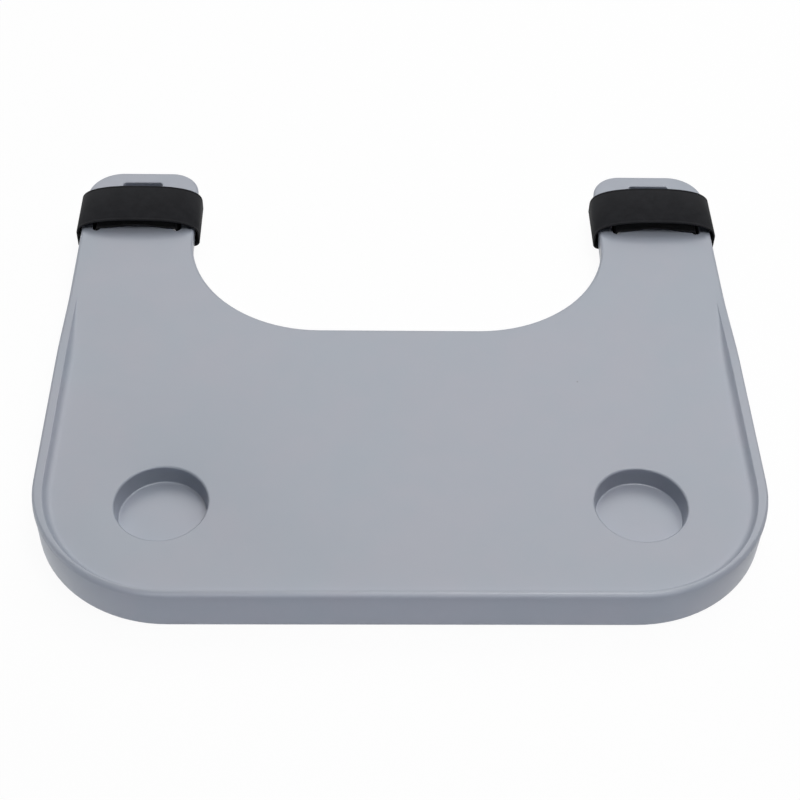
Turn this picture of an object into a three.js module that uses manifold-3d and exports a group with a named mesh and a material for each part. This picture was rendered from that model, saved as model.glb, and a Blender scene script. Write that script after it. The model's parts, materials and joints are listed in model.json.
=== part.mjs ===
// Wheelchair tray: a hollow, double-skinned moulded tray with a U-shaped cut-out for the waist,
// two cup recesses, a raised rim, and a hook-and-loop strap round each arm.
// Millimetres. +X to the right, +Y from the front edge towards the arms' tips, +Z up.
// The origin is under the middle of the tray, on the surface that it stands on.

import * as THREE from 'three';
import { mergeVertices } from 'three/addons/utils/BufferGeometryUtils.js';
import Module from 'manifold-3d';

const wasm = await Module();
wasm.setup();

// Tray outline
const trayWidth = 600;
const trayDepth = 514;
const frontCornerRadius = 116;
const armWidth = 106.5;
const tipOuterRadius = 33;
const tipInnerRadius = 27;
const cutoutDepth = 217;
const cutoutRadius = 122;

// Tray heights and walls
const deckHeight = 34;
const skinWall = 2.5;
const deckEdgeRadius = 4;
const baseEdgeRadius = 3.5;
const armEdgeRadius = 4.5;
const armLift = 14.5;
const armRaisedLength = 169;

// Rim round the front and the sides
const rimRise = 6;
const rimTopWidth = 6;
const rimSlopeWidth = 6.5;
const rimLipRadius = 4.5;
const rimFadeStart = 235;
const rimFadeEnd = 318;

// Parting line between the two skins: high along the front, lower along the arms
const partingAboveDeckFront = 1;
const partingBelowDeckArms = 11;
const partingSlopeStart = 150;
const partingSlopeEnd = 285;

// Cup recesses
const cupRadius = 39.5;
const cupFloorHeight = 16.5;
const cupFromFront = 96.5;
const cupFromSide = 105;
const cupDraft = 1.5;
const cupLipRadius = 2.5;
const cupFloorRadius = 2.5;

// Tack-off cones that join the underside to the deck
const coneMouthRadius = 17;
const coneTopRadius = 9;
const coneRowFromFront = 80;
const coneRowFromCutout = 97;
const coneSpacing = 105;

// Slots through the arms
const strapSlotWidth = 7;
const strapSlotFromOuterSide = 14;
const strapSlotFromInnerSide = 16.5;
const tipSlotLength = 38;
const tipSlotWidth = 7;
const tipSlotFromTip = 18.5;

// Straps
const strapWidth = 50;
const strapThickness = 1.5;
const strapFromTip = 34;
const strapSlotClearance = 1.5;
const strapBendRadius = 5;
const strapArchRise = 10;
const strapArchFullness = 2.6;
const strapInnerGap = 3;
const flapHingeBelowDeck = 7.5;
const flapEndBelowArm = 1.5;
const tapeThickness = 0.6;
const tapeMargin = 1.5;

// Gap that touching pieces keep, and how finely round shapes are faceted
const clearance = 0.3;
const beyond = 20;
const arcSteps = 6;
const edgeSteps = 3;
const turnSteps = 32;
const coneSteps = 20;
const bendSteps = 5;
const archSteps = 28;

// Places worked out from the sizes above
const sideX = trayWidth / 2;
const frontY = -trayDepth / 2;
const tipY = trayDepth / 2;
const armInnerX = sideX - armWidth;
const cutoutY = tipY - cutoutDepth;
const rimTop = deckHeight + rimRise;
const deckUnderside = deckHeight - skinWall;
const outerSlotX = sideX - strapSlotFromOuterSide;
const innerSlotX = armInnerX + strapSlotFromInnerSide;
const tipSlotX = (outerSlotX + innerSlotX) / 2;
const strapRearY = tipY - strapFromTip;
const strapMiddleY = strapRearY - strapWidth / 2;
const strapSlotLength = strapWidth + 2 * strapSlotClearance;
const tipSlotY = tipY - tipSlotFromTip;

const trayMaterial = new THREE.MeshStandardMaterial({ color: '#a5a9b4', roughness: 0.5, metalness: 0 });
const strapMaterial = new THREE.MeshStandardMaterial({ color: '#242426', roughness: 0.85, metalness: 0 });
const hookMaterial = new THREE.MeshStandardMaterial({ color: '#161617', roughness: 0.6, metalness: 0 });
const loopMaterial = new THREE.MeshStandardMaterial({ color: '#1d1d1f', roughness: 1, metalness: 0 });

// A closed geometry as a solid that can be joined and cut
function toSolid(geometry) {
  const bare = geometry.index ? geometry.toNonIndexed() : geometry.clone();
  bare.deleteAttribute('normal');
  bare.deleteAttribute('uv');
  const merged = mergeVertices(bare, 1e-4);
  return new wasm.Manifold(new wasm.Mesh({
    numProp: 3,
    vertProperties: new Float32Array(merged.attributes.position.array),
    triVerts: new Uint32Array(merged.index.array),
  }));
}

function toGeometry(solid) {
  const mesh = solid.getMesh();
  const geometry = new THREE.BufferGeometry();
  geometry.setAttribute('position', new THREE.BufferAttribute(mesh.vertProperties, 3));
  geometry.setIndex(new THREE.BufferAttribute(mesh.triVerts, 1));
  geometry.computeVertexNormals();
  return geometry;
}

// A shape in plan, extruded between two heights, with its end edges rounded by the given radius
function prism(shape, bottom, top, radius = 0) {
  const geometry = new THREE.ExtrudeGeometry(shape, {
    depth: top - bottom - 2 * radius,
    curveSegments: arcSteps,
    bevelEnabled: radius > 0,
    bevelThickness: radius,
    bevelSize: radius,
    bevelOffset: -radius,
    bevelSegments: edgeSteps,
  });
  return toSolid(geometry.translate(0, 0, bottom + radius));
}

// A shape drawn across the tray, X to the right and Y up, extruded along the tray's depth
function crossBand(shape, startY, endY) {
  const geometry = new THREE.ExtrudeGeometry(shape, { depth: endY - startY, bevelEnabled: false });
  return toSolid(geometry.rotateX(Math.PI / 2).translate(0, endY, 0));
}

// A shape drawn from the side, X towards the tips and Y up, extruded across the whole tray
function sideProfile(points) {
  const shape = new THREE.Shape(points.map(([y, z]) => new THREE.Vector2(y, z)));
  const width = trayWidth + 2 * beyond;
  const geometry = new THREE.ExtrudeGeometry(shape, { depth: width, bevelEnabled: false });
  return toSolid(geometry.rotateX(Math.PI / 2).rotateZ(Math.PI / 2).translate(-width / 2, 0, 0));
}

function lathe(points, steps) {
  const profile = points.map(([radius, z]) => new THREE.Vector2(radius, z));
  return toSolid(new THREE.LatheGeometry(profile, steps).rotateX(Math.PI / 2));
}

// The tray's outline in plan, moved inwards everywhere by the given distance
function trayOutline(inset) {
  const frontX = sideX - frontCornerRadius;
  const frontCentreY = frontY + frontCornerRadius;
  const tipOuterX = sideX - tipOuterRadius;
  const tipOuterY = tipY - tipOuterRadius;
  const tipInnerX = armInnerX + tipInnerRadius;
  const tipInnerY = tipY - tipInnerRadius;
  const cutoutX = armInnerX - cutoutRadius;
  const cutoutCentreY = cutoutY + cutoutRadius;
  const frontRadius = frontCornerRadius - inset;
  const outerRadius = tipOuterRadius - inset;
  const innerRadius = tipInnerRadius - inset;
  const hollowRadius = cutoutRadius + inset;
  const quarter = Math.PI / 2;
  const shape = new THREE.Shape();
  shape.absarc(frontX, frontCentreY, frontRadius, -quarter, 0, false);
  shape.absarc(tipOuterX, tipOuterY, outerRadius, 0, quarter, false);
  shape.absarc(tipInnerX, tipInnerY, innerRadius, quarter, 2 * quarter, false);
  shape.absarc(cutoutX, cutoutCentreY, hollowRadius, 0, -quarter, true);
  shape.absarc(-cutoutX, cutoutCentreY, hollowRadius, -quarter, -2 * quarter, true);
  shape.absarc(-tipInnerX, tipInnerY, innerRadius, 0, quarter, false);
  shape.absarc(-tipOuterX, tipOuterY, outerRadius, quarter, 2 * quarter, false);
  shape.absarc(-frontX, frontCentreY, frontRadius, 2 * quarter, 3 * quarter, false);
  shape.closePath();
  return shape;
}

// The front of the tray with its round corners, open past the rim's faded ends
function frontOutline(inset, backY) {
  const cornerX = sideX - frontCornerRadius;
  const cornerY = frontY + frontCornerRadius;
  const radius = frontCornerRadius - inset;
  const quarter = Math.PI / 2;
  const shape = new THREE.Shape();
  shape.absarc(cornerX, cornerY, radius, -quarter, 0, false);
  shape.lineTo(sideX - inset, backY);
  shape.lineTo(-(sideX - inset), backY);
  shape.absarc(-cornerX, cornerY, radius, 2 * quarter, 3 * quarter, false);
  shape.closePath();
  return shape;
}

// A slot with round ends, centred at a point, its length along X or along Y
function slotShape(x, y, length, width, alongY) {
  const radius = width / 2;
  const reach = length / 2 - radius;
  const turn = alongY ? Math.PI / 2 : 0;
  const reachX = alongY ? 0 : reach;
  const reachY = alongY ? reach : 0;
  const shape = new THREE.Shape();
  shape.absarc(x + reachX, y + reachY, radius, turn - Math.PI / 2, turn + Math.PI / 2, false);
  shape.absarc(x - reachX, y - reachY, radius, turn + Math.PI / 2, turn + 1.5 * Math.PI, false);
  shape.closePath();
  return shape;
}

// Every slot through the two arms, grown by the given distance
function armSlots(grow) {
  const shapes = [];
  for (const side of [-1, 1]) {
    for (const x of [innerSlotX, outerSlotX]) {
      const length = strapSlotLength + 2 * grow;
      shapes.push(slotShape(side * x, strapMiddleY, length, strapSlotWidth + 2 * grow, true));
    }
    const length = tipSlotLength + 2 * grow;
    shapes.push(slotShape(side * tipSlotX, tipSlotY, length, tipSlotWidth + 2 * grow, false));
  }
  return shapes;
}

// Everything above the parting line, raised by the given distance
function abovePartingLine(raise) {
  const frontHeight = deckHeight + partingAboveDeckFront + raise;
  const armsHeight = deckHeight - partingBelowDeckArms + raise;
  return sideProfile([
    [frontY - beyond, frontHeight],
    [frontY + partingSlopeStart, frontHeight],
    [frontY + partingSlopeEnd, armsHeight],
    [tipY + beyond, armsHeight],
    [tipY + beyond, rimTop + beyond],
    [frontY - beyond, rimTop + beyond],
  ]);
}

// The rim: a bead with a sloping inner face, whose top runs down to the deck at its two ends
function rimSolid() {
  const backY = frontY + rimFadeEnd;
  const outer = prism(frontOutline(0, backY), deckUnderside - rimLipRadius, rimTop, rimLipRadius);
  const slope = new THREE.ExtrudeGeometry(frontOutline(rimTopWidth + rimSlopeWidth, backY + beyond), {
    depth: beyond,
    curveSegments: arcSteps,
    bevelThickness: rimRise,
    bevelSize: rimSlopeWidth,
    bevelSegments: 1,
  });
  const inner = toSolid(slope.translate(0, 0, deckHeight + rimRise));
  const below = prism(frontOutline(rimTopWidth + rimSlopeWidth, backY + beyond), 0, deckHeight);
  const fade = sideProfile([
    [frontY + rimFadeStart, rimTop],
    [backY, deckHeight],
    [backY + beyond, deckHeight],
    [backY + beyond, rimTop + beyond],
    [frontY + rimFadeStart, rimTop + beyond],
  ]);
  return outer.subtract(inner).subtract(below).subtract(fade);
}

// A cup recess's section below its lip, from the axis outwards, grown by the given distance
function cupSection(grow) {
  const floor = cupFloorHeight - grow;
  const wallRadius = cupRadius - cupLipRadius + grow;
  const floorRadius = wallRadius - cupDraft;
  const points = [[0, floor]];
  for (let step = 0; step <= edgeSteps; step += 1) {
    const angle = (step / edgeSteps) * (Math.PI / 2);
    const radius = floorRadius - cupFloorRadius * (1 - Math.sin(angle));
    points.push([radius, floor + cupFloorRadius * (1 - Math.cos(angle))]);
  }
  points.push([wallRadius, deckHeight - cupLipRadius]);
  return points;
}

// What a cup recess takes away from the deck, with its rounded lip
function cupRecess() {
  const points = cupSection(0);
  for (let step = 1; step <= edgeSteps; step += 1) {
    const angle = (step / edgeSteps) * (Math.PI / 2);
    const radius = cupRadius - cupLipRadius * Math.cos(angle);
    points.push([radius, deckHeight - cupLipRadius * (1 - Math.sin(angle))]);
  }
  points.push([cupRadius, deckHeight + beyond], [0, deckHeight + beyond]);
  return lathe(points, turnSteps);
}

// The skin that hangs below the deck round a cup recess
function cupBody() {
  const collarRadius = cupRadius + skinWall;
  const points = cupSection(skinWall);
  points.push([collarRadius, deckUnderside], [collarRadius, deckHeight], [0, deckHeight]);
  return lathe(points, turnSteps);
}

function cupPlaces() {
  return [-1, 1].map((side) => [side * (sideX - cupFromSide), frontY + cupFromFront, 0]);
}

function deckShell() {
  const outer = prism(trayOutline(0), 0, deckHeight, deckEdgeRadius).add(rimSolid());
  const hollowRadius = deckEdgeRadius - skinWall;
  const hollow = prism(trayOutline(skinWall), -beyond, deckUnderside, hollowRadius);
  const panRing = prism(trayOutline(-beyond), -beyond, rimTop + beyond)
    .subtract(prism(trayOutline(skinWall + clearance), -2 * beyond, rimTop + 2 * beyond));
  let shell = outer.subtract(hollow).subtract(panRing.subtract(abovePartingLine(clearance / 2)));
  for (const place of cupPlaces()) {
    shell = shell.add(cupBody().translate(place)).subtract(cupRecess().translate(place));
  }
  for (const slot of armSlots(0)) {
    shell = shell.subtract(prism(slot, -beyond, rimTop + beyond));
  }
  return shell;
}

// The underside's outer form, or with an inset its hollow: a belly under the tray and raised arms
function panForm(inset, top) {
  const stepY = tipY - armRaisedLength - inset;
  const bellyRadius = baseEdgeRadius - inset;
  const armRadius = armEdgeRadius - inset;
  const bellyTop = armLift + inset + armEdgeRadius + clearance;
  const arms = prism(trayOutline(inset), armLift + inset, top + armRadius, armRadius);
  const belly = prism(trayOutline(inset), inset, bellyTop + beyond, bellyRadius);
  const bellyLimit = sideProfile([
    [frontY - beyond, inset - beyond],
    [stepY - armLift - beyond, inset - beyond],
    [stepY - armLift, inset],
    [stepY, armLift + inset],
    [stepY, bellyTop],
    [frontY - beyond, bellyTop],
  ]);
  return arms.add(belly.intersect(bellyLimit));
}

function conePlaces() {
  const columns = [-coneSpacing, 0, coneSpacing];
  const rows = [frontY + coneRowFromFront, cutoutY - coneRowFromCutout];
  return rows.flatMap((y) => columns.map((x) => [x, y, 0]));
}

// A tack-off cone, which rises from the underside and bears on the deck
function coneBody() {
  const top = deckUnderside - clearance;
  return lathe([[0, 0], [coneMouthRadius, 0], [coneTopRadius, top], [0, top]], coneSteps);
}

// The blind hollow inside a tack-off cone, open below
function coneHollow() {
  const mouth = coneMouthRadius - skinWall;
  const top = deckUnderside - clearance - skinWall;
  return lathe([[0, -beyond], [mouth, -beyond], [mouth, 0], [coneTopRadius - skinWall, top], [0, top]], coneSteps);
}

function basePan() {
  const walls = panForm(0, rimTop).subtract(panForm(skinWall, rimTop + beyond));
  let pan = walls.subtract(abovePartingLine(-clearance / 2));
  for (const collar of armSlots(skinWall)) {
    pan = pan.add(prism(collar, armLift, deckUnderside - clearance));
  }
  for (const slot of armSlots(0)) {
    pan = pan.subtract(prism(slot, -beyond, rimTop + beyond));
  }
  for (const place of conePlaces()) {
    pan = pan.add(coneBody().translate(place)).subtract(coneHollow().translate(place));
  }
  return pan;
}

// A strip of even thickness along a path of straight runs and curves, as a closed shape
function stripShape(path, thickness) {
  const points = path.getPoints(bendSteps);
  const sides = points.map((point, index) => {
    const before = points[Math.max(index - 1, 0)];
    const after = points[Math.min(index + 1, points.length - 1)];
    const along = after.clone().sub(before).normalize();
    return new THREE.Vector2(-along.y, along.x).multiplyScalar(thickness / 2);
  });
  const left = points.map((point, index) => point.clone().add(sides[index]));
  const right = points.map((point, index) => point.clone().sub(sides[index]));
  return new THREE.Shape([...right, ...left.reverse()]);
}

// A path of straight runs, each corner given with the radius that rounds it
function roundedRun(corners) {
  const points = corners.map(([x, z]) => new THREE.Vector2(x, z));
  const path = new THREE.Path();
  path.moveTo(points[0].x, points[0].y);
  for (let index = 1; index < points.length - 1; index += 1) {
    const radius = corners[index][2];
    const corner = points[index];
    const arrive = corner.clone().sub(points[index - 1]).normalize();
    const leave = points[index + 1].clone().sub(corner).normalize();
    const start = corner.clone().addScaledVector(arrive, -radius);
    const centre = start.clone().addScaledVector(leave, radius);
    const turn = Math.sign(arrive.cross(leave));
    const startAngle = Math.atan2(start.y - centre.y, start.x - centre.x);
    path.absarc(centre.x, centre.y, radius, startAngle, startAngle + turn * Math.PI / 2, turn < 0);
  }
  const last = points[points.length - 1];
  path.lineTo(last.x, last.y);
  return path;
}

// Centre lines of the layers of the right arm's strap, and the heights where they end
const half = strapThickness / 2;
const tailX = sideX + clearance + half;
const underRunZ = armLift - clearance - half;
const deckRunZ = deckHeight + clearance + half;
const innerRunX = armInnerX - strapInnerGap - half;
const loopTapeX = tailX + half + clearance + tapeThickness / 2;
const hookTapeX = loopTapeX + tapeThickness + clearance;
const flapEndX = hookTapeX + tapeThickness / 2 + clearance + half;
const flapHingeZ = deckHeight - flapHingeBelowDeck;
const flapBottomZ = armLift - flapEndBelowArm;

// The webbing that stays put: the tail on the arm's outer side, then under the arm, over the deck between
// the two slots, under the arm again and up its inner side as far as the flap
function strapPath() {
  const slotRadius = strapSlotWidth / 2;
  return roundedRun([
    [tailX, flapHingeZ],
    [tailX, underRunZ, strapBendRadius],
    [outerSlotX, underRunZ, slotRadius],
    [outerSlotX, deckRunZ, slotRadius],
    [innerSlotX, deckRunZ, slotRadius],
    [innerSlotX, underRunZ, slotRadius],
    [innerRunX, underRunZ, strapBendRadius],
    [innerRunX, flapHingeZ - clearance / 2],
  ]);
}

// The flap's arch over the arm, a superellipse between its two hinges
function flapPath() {
  const middleX = (innerRunX + flapEndX) / 2;
  const reach = (flapEndX - innerRunX) / 2;
  const startZ = flapHingeZ + clearance / 2;
  const rise = deckHeight + strapArchRise - half - startZ;
  const power = 2 / strapArchFullness;
  const points = [];
  for (let step = 0; step <= archSteps; step += 1) {
    const angle = (step / archSteps) * Math.PI;
    const along = Math.sign(Math.cos(angle)) * Math.abs(Math.cos(angle)) ** power;
    const up = Math.abs(Math.sin(angle)) ** power;
    points.push(new THREE.Vector2(middleX + reach * along, startZ + rise * up));
  }
  return new THREE.Path(points);
}

function verticalStrip(x, bottom, top, thickness) {
  const path = new THREE.Path();
  path.moveTo(x, bottom);
  path.lineTo(x, top);
  return stripShape(path, thickness);
}

// One strap's five pieces, on the right arm or mirrored to the left one
function strapPieces(name, side) {
  const startY = strapRearY - strapWidth;
  const endTopZ = flapHingeZ - clearance / 2;
  const tapeTopZ = flapHingeZ - tapeMargin;
  const tapeBottomZ = underRunZ + strapBendRadius;
  const pieces = [
    ['strap', stripShape(strapPath(), strapThickness), 0, strapMaterial],
    ['strap_flap', stripShape(flapPath(), strapThickness), 0, strapMaterial],
    ['flap_end', verticalStrip(flapEndX, flapBottomZ, endTopZ, strapThickness), 0, strapMaterial],
    ['hook_tape', verticalStrip(hookTapeX, tapeBottomZ, tapeTopZ, tapeThickness), tapeMargin, hookMaterial],
    ['loop_tape', verticalStrip(loopTapeX, tapeBottomZ, tapeTopZ, tapeThickness), tapeMargin, loopMaterial],
  ];
  return pieces.map(([piece, shape, margin, material]) => {
    const band = crossBand(shape, startY + margin, strapRearY - margin);
    const placed = side > 0 ? band : band.mirror([1, 0, 0]);
    return namedMesh(`${name}_${piece}`, placed, material);
  });
}

function namedMesh(name, solid, material) {
  const mesh = new THREE.Mesh(toGeometry(solid), material);
  mesh.name = name;
  return mesh;
}

const tray = new THREE.Group();
tray.add(namedMesh('deck_shell', deckShell(), trayMaterial));
tray.add(namedMesh('base_pan', basePan(), trayMaterial));
tray.add(...strapPieces('left', -1), ...strapPieces('right', 1));

export default tray;
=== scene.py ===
# %% [markdown]
# # A wheelchair tray
# A lap tray for a wheelchair: two moulded plastic skins closed into one hollow board, with a cut-out
# for the waist, a raised rim, two cup recesses, and a black strap round each arm. The construction
# model is loaded first. It fixes every size and place, and the pieces below dress it.

# %% Load the frame
import json
import math
import random

import bmesh
import bpy
from mathutils import Matrix, Vector
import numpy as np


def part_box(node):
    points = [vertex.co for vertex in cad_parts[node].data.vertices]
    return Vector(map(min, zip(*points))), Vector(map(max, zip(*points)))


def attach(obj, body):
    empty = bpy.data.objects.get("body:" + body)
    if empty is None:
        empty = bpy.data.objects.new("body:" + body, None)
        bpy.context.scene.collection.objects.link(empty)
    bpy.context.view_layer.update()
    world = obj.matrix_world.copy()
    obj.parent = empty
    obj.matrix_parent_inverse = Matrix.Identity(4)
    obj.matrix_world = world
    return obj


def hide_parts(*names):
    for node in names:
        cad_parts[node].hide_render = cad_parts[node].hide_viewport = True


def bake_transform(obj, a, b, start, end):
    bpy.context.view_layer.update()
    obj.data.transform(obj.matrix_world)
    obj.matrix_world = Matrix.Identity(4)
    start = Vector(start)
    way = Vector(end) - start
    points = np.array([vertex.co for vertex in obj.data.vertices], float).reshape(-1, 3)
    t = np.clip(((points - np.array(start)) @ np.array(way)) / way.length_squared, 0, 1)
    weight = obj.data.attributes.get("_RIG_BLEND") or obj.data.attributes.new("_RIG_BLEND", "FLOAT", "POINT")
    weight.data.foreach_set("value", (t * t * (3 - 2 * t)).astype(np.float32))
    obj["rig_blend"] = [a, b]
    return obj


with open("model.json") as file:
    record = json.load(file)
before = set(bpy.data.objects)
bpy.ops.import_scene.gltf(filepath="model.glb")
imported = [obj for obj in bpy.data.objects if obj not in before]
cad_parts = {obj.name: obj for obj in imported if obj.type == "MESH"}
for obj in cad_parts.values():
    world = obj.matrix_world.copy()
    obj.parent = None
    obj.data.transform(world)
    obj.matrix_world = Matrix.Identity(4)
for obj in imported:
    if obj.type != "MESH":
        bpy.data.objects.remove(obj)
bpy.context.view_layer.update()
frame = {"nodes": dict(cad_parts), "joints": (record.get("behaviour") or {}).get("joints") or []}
print("nodes:", ", ".join(sorted(frame["nodes"])))

# %% Read the tray's places off the frame
MM = 0.001
RIM_RISE = 6 * MM
deck_low, deck_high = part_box("deck_shell")
side_x = deck_high.x
front_y = deck_low.y
tip_y = deck_high.y
rim_top = deck_high.z
deck_z = rim_top - RIM_RISE
print(f"tray {2 * side_x / MM:.0f} wide, {(tip_y - front_y) / MM:.0f} deep, deck at {deck_z / MM:.0f} mm")

# %% [markdown]
# ## The camera
# The photograph was taken from the front, looking down at about 47 degrees. Its camera was found by
# fitting the tray's outline: a place, a direction, and a lens a little longer than a normal one.
# Blender's camera looks along its own -Z with +Y up, so its matrix holds the three directions.

# %% Place the camera
CAMERA_PLACE = Vector((-32.197, -975.802, 1040.981)) * MM
CAMERA_DOWN = math.radians(47.273)
CAMERA_YAW = math.radians(1.974)
CAMERA_ROLL = math.radians(1.721)
LENS = 71.716
NEAREST = 10 * MM


def camera_matrix():
    """Where the camera stands and how it is turned."""
    level = Vector((math.sin(CAMERA_YAW), math.cos(CAMERA_YAW), 0))
    forward = level * math.cos(CAMERA_DOWN) - Vector((0, 0, math.sin(CAMERA_DOWN)))
    right = Vector((math.cos(CAMERA_YAW), -math.sin(CAMERA_YAW), 0))
    up = right.cross(forward)
    tilt = Matrix.Rotation(CAMERA_ROLL, 3, -forward)
    turned = Matrix((tilt @ right, tilt @ up, -forward)).transposed()
    return Matrix.Translation(CAMERA_PLACE) @ turned.to_4x4()


scene = bpy.context.scene
camera = bpy.data.objects.new("camera", bpy.data.cameras.new("camera"))
camera.data.lens = LENS
camera.data.clip_start = NEAREST
camera.matrix_world = camera_matrix()
scene.collection.objects.link(camera)
scene.camera = camera
print("camera at", [round(v, 3) for v in CAMERA_PLACE])

# %% [markdown]
# ## Nodes in short form
# Every material below is a small graph of shader nodes. A few helpers keep the graphs readable: they add
# a node, start a material, and wrap the handful of nodes that come back in every finish. Textures read
# the piece's own object coordinates, so a pattern stays fixed to the surface when the piece moves.

# %% Helpers for shader nodes
def feed(tree, socket, value):
    """Link a socket to another node's output, or set it to a plain value."""
    if isinstance(value, bpy.types.NodeSocket):
        tree.links.new(value, socket)
    else:
        socket.default_value = value


def add_node(tree, kind, inputs=None, **settings):
    """A new node with its settings. Its inputs go by name, or by number where a name repeats."""
    made = tree.nodes.new(kind)
    for name, value in settings.items():
        setattr(made, name, value)
    for name, value in (inputs or {}).items():
        feed(tree, made.inputs[name], value)
    return made


def new_material(name):
    """A material with its node tree and the shader that the finish is made on."""
    material = bpy.data.materials.new(name)
    material.use_nodes = True
    tree = material.node_tree
    return material, tree, tree.nodes["Principled BSDF"]


# %% The nodes that come back in every finish
WHOLE = (0, 1)


def calculate(tree, operation, *values):
    return add_node(tree, "ShaderNodeMath", dict(enumerate(values)), operation=operation).outputs[0]


def remap(tree, value, before, after):
    """Stretch a value from one range to another."""
    limits = {"From Min": before[0], "From Max": before[1], "To Min": after[0], "To Max": after[1]}
    return add_node(tree, "ShaderNodeMapRange", {"Value": value, **limits}).outputs["Result"]


def blend_colours(tree, share, first, second):
    return add_node(tree, "ShaderNodeMix", {0: share, 6: first, 7: second}, data_type="RGBA").outputs[2]


def object_place(tree):
    return add_node(tree, "ShaderNodeTexCoord").outputs["Object"]


def noise(tree, place, scale, detail, roughness=0.5):
    inputs = {"Vector": place, "Scale": scale, "Detail": detail, "Roughness": roughness}
    return add_node(tree, "ShaderNodeTexNoise", inputs).outputs["Fac"]


def bump(tree, height, strength, distance, under=None):
    """A bumped normal, on top of another one where that is given."""
    inputs = {"Height": height, "Strength": strength, "Distance": distance}
    if under is not None:
        inputs["Normal"] = under
    return add_node(tree, "ShaderNodeBump", inputs).outputs["Normal"]


# %% [markdown]
# ## Light and floor
# The photograph is a studio shot on white. A wide panel stands behind and above the tray, and the satin
# deck mirrors it as a soft haze. A smaller lamp hangs overhead. A card over the front is seen by
# reflections only and draws the light line along the bead, and two low fills lift the left edge and the
# front wall. The floor is white to the camera and keeps a faint shadow of the tray.

# %% White surroundings
AMBIENT = 0.01
scene.view_settings.view_transform = "Standard"
world = bpy.data.worlds.new("studio")
world.use_nodes = True
scene.world = world


def seen_directly(tree):
    """1 for rays from the camera, and for those that a mirror or glass passes on."""
    path = add_node(tree, "ShaderNodeLightPath").outputs
    either = calculate(tree, "MAXIMUM", path["Is Camera Ray"], path["Is Glossy Ray"])
    return calculate(tree, "MAXIMUM", either, path["Is Transmission Ray"])


tree = world.node_tree
backdrop = tree.nodes["Background"]
backdrop.inputs["Color"].default_value = (1, 1, 1, 1)
feed(tree, backdrop.inputs["Strength"], remap(tree, seen_directly(tree), WHOLE, (AMBIENT, 1)))
print("world:", world.name, "with", AMBIENT, "of ambient light")

# %% Floor
FLOOR_REACH = 6.0
FLOOR_DROP = 0.2 * MM
FLOOR_PAINT = (0.9, 0.9, 0.9, 1)
FLOOR_WHITE = 1.02
FLOOR_GLOW = 0.93
FLOOR_BOUNCE = 0.1


def white_floor():
    """Matte white paint that mostly glows where the camera sees it, so that only a faint shadow stays."""
    material, tree, shader = new_material("white_floor")
    shader.inputs["Base Color"].default_value = FLOOR_PAINT
    shader.inputs["Roughness"].default_value = 1.0
    shader.inputs["Specular IOR Level"].default_value = 0.0
    glow = add_node(tree, "ShaderNodeEmission", {"Strength": FLOOR_WHITE})
    share = remap(tree, seen_directly(tree), WHOLE, (FLOOR_BOUNCE, FLOOR_GLOW))
    mixed = add_node(tree, "ShaderNodeMixShader", {0: share, 1: shader.outputs[0], 2: glow.outputs[0]})
    feed(tree, tree.nodes["Material Output"].inputs["Surface"], mixed.outputs[0])
    return material


sheet = bmesh.new()
level = Matrix.Translation((0, 0, -FLOOR_DROP))
bmesh.ops.create_grid(sheet, x_segments=1, y_segments=1, size=FLOOR_REACH, matrix=level)
floor_mesh = bpy.data.meshes.new("floor")
sheet.to_mesh(floor_mesh)
sheet.free()
floor = bpy.data.objects.new("floor", floor_mesh)
floor_mesh.materials.append(white_floor())
scene.collection.objects.link(floor)
print("floor:", 2 * FLOOR_REACH, "m square,", round(FLOOR_DROP / MM, 1), "mm under the tray")

# %% Lamps
COOL_LIGHT = (0.88, 0.94, 1.1)


def soft_lamp(name, place, aim, size, watts, tint=(1, 1, 1)):
    """A rectangular lamp that is turned towards a place. The camera doesn't see the lamp itself."""
    data = bpy.data.lights.new(name, "AREA")
    data.shape = "RECTANGLE"
    data.size = size[0]
    data.size_y = size[1]
    data.energy = watts
    data.color = tint
    lamp = bpy.data.objects.new(name, data)
    lamp.location = place
    lamp.rotation_euler = (Vector(aim) - Vector(place)).to_track_quat("-Z", "Y").to_euler()
    lamp.visible_camera = False
    scene.collection.objects.link(lamp)
    return lamp


soft_lamp("panel", place=(0.35, 1.6, 2.2), aim=(0, 0, 0), size=(3.8, 1.9), watts=40)
soft_lamp("overhead", place=(0.4, -0.2, 2.3), aim=(0, -0.1, 0), size=(1, 1), watts=20)
front_card = soft_lamp(
    "front_card", place=(0.2, -1.65, 1.6), aim=(0, -0.25, 0.03), size=(2.6, 1.8), watts=22)
front_card.visible_diffuse = False
soft_lamp("low_left", place=(-1.8, 0, 0.05), aim=(0, 0, 0.02), size=(1.2, 0.08), watts=4)
front_fill = soft_lamp(
    "front_fill", place=(0, -1.8, 0.12), aim=(0, 0, 0.02), size=(1.6, 0.16), watts=5.4, tint=COOL_LIGHT)
front_fill.visible_glossy = False

# %% [markdown]
# ## The tray's plastic
# The skins are moulded from a cool grey plastic with a satin, very finely grained face. Up close it isn't
# one colour: the grey drifts a little between bluish and warmer patches, and a few dark specks are
# moulded in. Noise at several scales gives the drift, the uneven gloss, a faint swell and the grain. A
# cell texture places the specks, because the middle of a cell is a dot.

# %% Specks in the plastic
SPECK_SCALE = 38
SPECK_EDGE = (0.02, 0.045)
SPECK_RARITY = 0.86


def specks(tree, place):
    """1 on a few small dots: the middles of those cells whose random colour is high in red."""
    inputs = {"Vector": place, "Scale": SPECK_SCALE, "Randomness": 1.0}
    cells = add_node(tree, "ShaderNodeTexVoronoi", inputs).outputs
    red = add_node(tree, "ShaderNodeSeparateColor", {"Color": cells["Color"]}).outputs[0]
    chosen = calculate(tree, "GREATER_THAN", red, SPECK_RARITY)
    return calculate(tree, "MULTIPLY", remap(tree, cells["Distance"], SPECK_EDGE, (1, 0)), chosen)


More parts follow.
